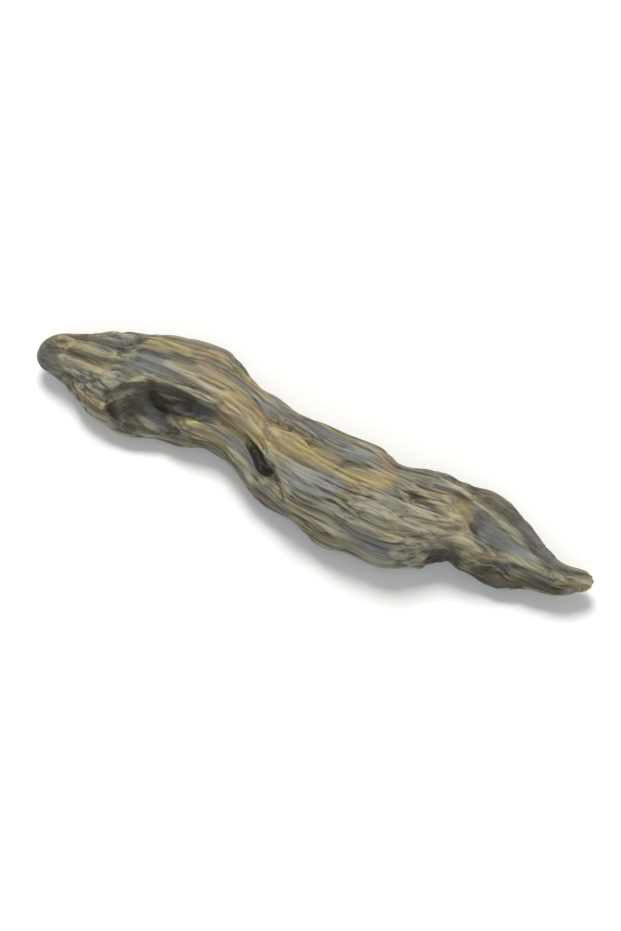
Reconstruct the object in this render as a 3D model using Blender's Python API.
"""One loose piece of agarwood: a long, twisted chip of resin-filled wood that was freed with a gouge.

The chip lies along X on its split underside, with its blunt end at -X and its pointed end at +X.
Z is up, the floor is Z = 0, and the origin is on the flat split face that the chip rests on.
A loft through hand-placed stations gives the chip its grain ridges and its slow swell and taper.
Gouges, which are stretched spheres and upright blades, then cut the hollow, the fold and the notch.
All lengths are in metres.
"""

import math

import bmesh
import bpy
import numpy as np
from mathutils import Euler, Matrix

# Driving dimensions
PIECE_LENGTH = 0.080
BLUNT_END_ROUNDING = 0.0036
POINTED_END_ROUNDING = 0.0016

# The loft's own mesh: points round each section, and sections along the piece
POINTS_ROUND = 84
SECTIONS = 50

# How square a section is: 1 is an ellipse, less is fuller at its corners
SECTION_POWER = 0.86

# The plan outline and the heights, read at stations from the blunt end to the pointed end:
# share of the length, low side Y, high side Y, underside Z, widest Z, crest Z, crest's shift in Y
STATIONS = (
    (0.000, -0.0018, 0.0032, 0.0016, 0.0038, 0.0064, 0.0000),
    (0.030, -0.0020, 0.0032, 0.0012, 0.0036, 0.0066, 0.0004),
    (0.085, -0.0030, 0.0055, 0.0007, 0.0034, 0.0079, 0.0009),
    (0.140, -0.0045, 0.0069, 0.0002, 0.0032, 0.0090, 0.0013),
    (0.205, -0.0052, 0.0083, -0.0004, 0.0031, 0.0095, 0.0016),
    (0.275, -0.0038, 0.0091, -0.0007, 0.0031, 0.0097, 0.0014),
    (0.335, -0.0032, 0.0084, -0.0008, 0.0032, 0.0098, 0.0010),
    (0.385, -0.0036, 0.0067, -0.0009, 0.0033, 0.0100, 0.0008),
    (0.435, -0.0064, 0.0053, -0.0009, 0.0035, 0.0104, 0.0008),
    (0.500, -0.0080, 0.0047, -0.0009, 0.0037, 0.0109, 0.0010),
    (0.585, -0.0090, 0.0048, -0.0008, 0.0038, 0.0110, 0.0010),
    (0.670, -0.0087, 0.0042, -0.0007, 0.0036, 0.0104, 0.0008),
    (0.730, -0.0071, 0.0050, -0.0004, 0.0033, 0.0095, 0.0006),
    (0.790, -0.0053, 0.0061, 0.0001, 0.0031, 0.0083, 0.0002),
    (0.850, -0.0049, 0.0050, 0.0007, 0.0031, 0.0071, 0.0000),
    (0.905, -0.0045, 0.0021, 0.0013, 0.0031, 0.0059, 0.0000),
    (0.955, -0.0034, 0.0006, 0.0018, 0.0033, 0.0050, 0.0000),
    (1.000, -0.0014, 0.0004, 0.0025, 0.0036, 0.0046, 0.0000),
)

# Grain ridges: how many there are round the piece, how deep they are, and their slow twist
RIDGE_COUNT = 17
RIDGE_DEPTH = 0.00026
RIDGE_TWIST = math.radians(-38)
RIDGE_RUN_OUT = 0.009

# Broad lumps: height, waves along the length, waves round the piece, phase
LUMPS = (
    (0.00026, 4.3, 1, 0.4),
    (0.00022, 7.1, -2, 2.2),
    (0.00018, 10.6, 3, 4.1),
)

# Gouge cuts made with a round-nosed tool: centre, radii, and the turns about X, Y and Z in degrees
SCOOPS = {
    "hollow": ((-0.0222, -0.0045, 0.0086), (0.0066, 0.0050, 0.0058), (0, 0, 6)),
    "strand_shelf": ((-0.0130, -0.0038, 0.0112), (0.0088, 0.0046, 0.0054), (0, 0, 0)),
    "dive": ((-0.0072, -0.0060, 0.0112), (0.0074, 0.0040, 0.0056), (0, 0, -38)),
    "blunt_end_dent": ((-0.0318, -0.0020, 0.0132), (0.0070, 0.0034, 0.0060), (0, 0, -16)),
    "pointed_end_facet": ((0.0285, -0.0002, 0.0160), (0.0130, 0.0046, 0.0098), (0, 0, -12)),
    "pointed_end_shoulder": ((0.0312, -0.0069, 0.0074), (0.0100, 0.0046, 0.0050), (0, 0, 4)),
    "notch": ((0.0212, -0.0072, 0.0030), (0.0025, 0.0029, 0.0080), (0, 0, 0)),
    "back_scoop": ((0.0035, 0.0098, 0.0088), (0.0130, 0.0060, 0.0034), (-14, 0, -2)),
    "blunt_end_under": ((-0.0345, 0.0030, -0.0046), (0.0110, 0.0060, 0.0066), (0, 0, 12)),
    "pointed_end_under": ((0.0300, -0.0020, -0.0050), (0.0120, 0.0050, 0.0068), (0, 0, -8)),
}

# Cuts that follow a line with an upright blade: X, Y, the cut's lowest Z and the blade's radius there
GROOVES = {
    "fold": (
        (-0.0255, -0.0022, 0.0052, 0.0010),
        (-0.0220, -0.0006, 0.0044, 0.0014),
        (-0.0185, -0.0001, 0.0047, 0.0013),
        (-0.0155, -0.0001, 0.0061, 0.0010),
        (-0.0130, -0.0002, 0.0068, 0.0008),
        (-0.0112, -0.0005, 0.0072, 0.0006),
        (-0.0097, -0.0009, 0.0072, 0.0005),
        (-0.0084, -0.0014, 0.0066, 0.0005),
        (-0.0070, -0.0021, 0.0055, 0.0005),
        (-0.0060, -0.0028, 0.0050, 0.0005),
        (-0.0051, -0.0035, 0.0056, 0.0004),
        (-0.0043, -0.0041, 0.0069, 0.0004),
        (-0.0034, -0.0048, 0.0076, 0.0004),
        (-0.0024, -0.0054, 0.0076, 0.0004),
        (-0.0008, -0.0067, 0.0066, 0.0003),
    ),
    "high_side_ledge": (
        (0.0135, 0.0064, 0.0080, 0.0014),
        (0.0170, 0.0059, 0.0062, 0.0022),
        (0.0210, 0.0057, 0.0052, 0.0026),
        (0.0250, 0.0048, 0.0046, 0.0025),
        (0.0285, 0.0038, 0.0042, 0.0020),
        (0.0315, 0.0030, 0.0044, 0.0014),
        (0.0350, 0.0034, 0.0050, 0.0012),
    ),
}
GROOVE_TOP = 0.0160
GROOVE_STEP = 0.0007
GROOVE_FADE = 0.0010
GROOVE_POINT = 0.00004
NOSE_POINTS = 9
SCOOP_SEGMENTS = 28
SCOOP_RINGS = 16

WOOD_COLOUR = (0.115, 0.105, 0.078, 1.0)
WOOD_ROUGHNESS = 0.62
SMOOTH_ANGLE = math.radians(40)


def smooth_through(stations, column, share):
    """A smooth curve through one column of the stations, read at each share of the length.

    Each span is a cubic whose end slopes are those of the chords over its neighbours.
    """
    knots = np.array([row[0] for row in stations])
    values = np.array([row[column] for row in stations])
    slopes = np.gradient(values, knots)
    span = np.clip(np.searchsorted(knots, share, side="right") - 1, 0, len(knots) - 2)
    width = knots[span + 1] - knots[span]
    t = (share - knots[span]) / width
    return (
        (2 * t**3 - 3 * t**2 + 1) * values[span]
        + (t**3 - 2 * t**2 + t) * width * slopes[span]
        + (3 * t**2 - 2 * t**3) * values[span + 1]
        + (t**3 - t**2) * width * slopes[span + 1]
    )


def end_rounding(share):
    """How much of a section is left near the two ends, as on a ball: 1 in the middle and 0 at the tips."""
    from_blunt = np.clip(share * PIECE_LENGTH / BLUNT_END_ROUNDING, 0, 1)
    from_point = np.clip((1 - share) * PIECE_LENGTH / POINTED_END_ROUNDING, 0, 1)
    return np.sqrt((1 - (1 - from_blunt) ** 2) * (1 - (1 - from_point) ** 2))


def grain_relief(share, angle):
    """How far the surface stands out from the plain loft: broad lumps plus ridges that follow the grain.

    A ridge is round on top and meets the next one in a sharp furrow. It swells and fades as it goes,
    and it dies out over the last stretch before each end.
    """
    relief = sum(
        height * np.sin(2 * math.pi * along * share + around * angle + phase)
        for height, along, around, phase in LUMPS
    )
    wander = 0.25 * np.sin(2 * math.pi * 2.3 * share + 2 * angle)
    turn = RIDGE_COUNT / 2 * (angle + RIDGE_TWIST * share) + wander
    swell = 0.65 + 0.35 * np.sin(2 * math.pi * 3.1 * share + 3 * angle + 1.0)
    from_end = np.clip(np.minimum(share, 1 - share) * PIECE_LENGTH / RIDGE_RUN_OUT, 0, 1)
    fade = from_end**2 * (3 - 2 * from_end)
    return relief + RIDGE_DEPTH * fade * swell * (2 * np.abs(np.sin(turn)) - 1.2)


def loft_point(share, angle):
    """The chip's skin before it is gouged: a rounded section at each share of the length.

    Y is cos and Z is sin of the angle, each raised to the section power, so the section is a fuller
    ellipse. Its upper and lower halves have their own heights, and the crest leans to one side.
    """
    low, high, under, widest, crest, lean = (
        smooth_through(STATIONS, column, share) for column in range(1, 7)
    )
    across = np.sign(np.cos(angle)) * np.abs(np.cos(angle)) ** SECTION_POWER
    upward = np.sign(np.sin(angle)) * np.abs(np.sin(angle)) ** SECTION_POWER
    height = np.where(upward > 0, crest - widest, widest - under)
    half_width = (high - low) / 2
    reach = end_rounding(share)
    stand_out = grain_relief(share, angle) * reach
    y = (high + low) / 2 + reach * half_width * across + lean * np.clip(upward, 0, 1)
    z = widest + reach * height * upward
    y = y + stand_out * np.cos(angle)
    z = z + stand_out * np.sin(angle)
    x = PIECE_LENGTH * (share - 0.5)
    return np.stack([x, y, np.maximum(z, 0)], axis=-1)


def section_shares():
    """Where the sections stand: evenly, but closer together towards both ends, as cos gives."""
    steps = np.linspace(0, 1, SECTIONS + 2)[1:-1]
    bunched = (1 - np.cos(math.pi * steps)) / 2
    return 0.55 * steps + 0.45 * bunched


def make_loft(name):
    """A closed mesh of rings of quads, with a fan of triangles at each tip."""
    share, angle = np.meshgrid(
        section_shares(),
        np.linspace(0, 2 * math.pi, POINTS_ROUND, endpoint=False),
        indexing="ij",
    )
    rings = loft_point(share, angle)
    tips = loft_point(np.array([0.0, 1.0]), np.array([0.0, 0.0]))
    shape = bmesh.new()
    blunt_tip, pointed_tip = (shape.verts.new(tip) for tip in tips)
    grid = [[shape.verts.new(point) for point in ring] for ring in rings]
    for column in range(POINTS_ROUND):
        after = (column + 1) % POINTS_ROUND
        shape.faces.new((blunt_tip, grid[0][after], grid[0][column]))
        shape.faces.new((pointed_tip, grid[-1][column], grid[-1][after]))
        for row in range(SECTIONS - 1):
            shape.faces.new(
                (grid[row][column], grid[row][after], grid[row + 1][after], grid[row + 1][column])
            )
    bmesh.ops.recalc_face_normals(shape, faces=shape.faces)
    mesh = bpy.data.meshes.new(name)
    shape.to_mesh(mesh)
    shape.free()
    return bpy.data.objects.new(name, mesh)


def make_scoop(name, centre, radii, turns):
    """A round-nosed gouge's cut: a sphere stretched to the three radii, then turned and placed."""
    shape = bmesh.new()
    bmesh.ops.create_uvsphere(shape, u_segments=SCOOP_SEGMENTS, v_segments=SCOOP_RINGS, radius=1)
    turn = Euler([math.radians(t) for t in turns]).to_matrix().to_4x4()
    stretch = Matrix.Diagonal((*radii, 1))
    shape.transform(Matrix.Translation(centre) @ turn @ stretch)
    mesh = bpy.data.meshes.new(name)
    shape.to_mesh(mesh)
    shape.free()
    return bpy.data.objects.new(name, mesh)


def groove_sections(points):
    """Places along the groove, and at each the middle Y, the lowest Z, the radius and the half width.

    The half width is the radius drawn out where the groove runs askew. Both ends fade to a point.
    """
    first, last = points[0][0], points[-1][0]
    x = np.linspace(first, last, round((last - first) / GROOVE_STEP) + 1)
    y, lowest, radius = (smooth_through(points, column, x) for column in (1, 2, 3))
    slant = np.gradient(y, x)
    from_end = np.clip(np.minimum(x - first, last - x) / GROOVE_FADE, 0, 1)
    radius = np.maximum(radius * from_end**2 * (3 - 2 * from_end), GROOVE_POINT)
    return zip(x, y, lowest, radius, radius * np.sqrt(1 + slant**2))


def make_groove(name, points):
    """A cut along a line, made with an upright blade: a half round bottom with straight walls above it."""
    shape = bmesh.new()
    rings = []
    for x, y, lowest, radius, half_width in groove_sections(points):
        turns = np.linspace(math.pi, 2 * math.pi, NOSE_POINTS)
        ring = [(x, y + half_width * math.cos(turn), lowest + radius * (1 + math.sin(turn))) for turn in turns]
        ring += [(x, y + half_width, GROOVE_TOP), (x, y - half_width, GROOVE_TOP)]
        rings.append([shape.verts.new(point) for point in ring])
    for ring, following in zip(rings, rings[1:]):
        for number in range(len(ring)):
            after = (number + 1) % len(ring)
            shape.faces.new((ring[number], ring[after], following[after], following[number]))
    shape.faces.new(rings[0])
    shape.faces.new(rings[-1])
    bmesh.ops.recalc_face_normals(shape, faces=shape.faces)
    mesh = bpy.data.meshes.new(name)
    shape.to_mesh(mesh)
    shape.free()
    return bpy.data.objects.new(name, mesh)


def cut_with(wood, gouge):
    """Takes the gouge's shape out of the wood."""
    cut = wood.modifiers.new("cut_" + gouge.name, "BOOLEAN")
    cut.operation = "DIFFERENCE"
    cut.solver = "EXACT"
    cut.object = gouge


def wood_material():
    """Dull, dark resin wood in one even colour."""
    material = bpy.data.materials.new("resin_wood")
    material.use_nodes = True
    shader = material.node_tree.nodes["Principled BSDF"]
    shader.inputs["Base Color"].default_value = WOOD_COLOUR
    shader.inputs["Roughness"].default_value = WOOD_ROUGHNESS
    shader.inputs["Metallic"].default_value = 0.0
    return material


def main():
    for old in list(bpy.data.objects):
        bpy.data.objects.remove(old)
    pieces = bpy.data.collections.new("agarwood")
    gouges = bpy.data.collections.new("gouges")
    for collection in (pieces, gouges):
        bpy.context.scene.collection.children.link(collection)

    wood = make_loft("agarwood_piece")
    pieces.objects.link(wood)
    wood.data.materials.append(wood_material())
    cutters = [make_groove(name, points) for name, points in GROOVES.items()]
    cutters += [make_scoop(name, *cut) for name, cut in SCOOPS.items()]
    for cutter in cutters:
        gouges.objects.link(cutter)
        cutter.hide_render = True
        cutter.display_type = "WIRE"
        cut_with(wood, cutter)
    wood.data.shade_smooth()
    wood.data.set_sharp_from_angle(angle=SMOOTH_ANGLE)


main()
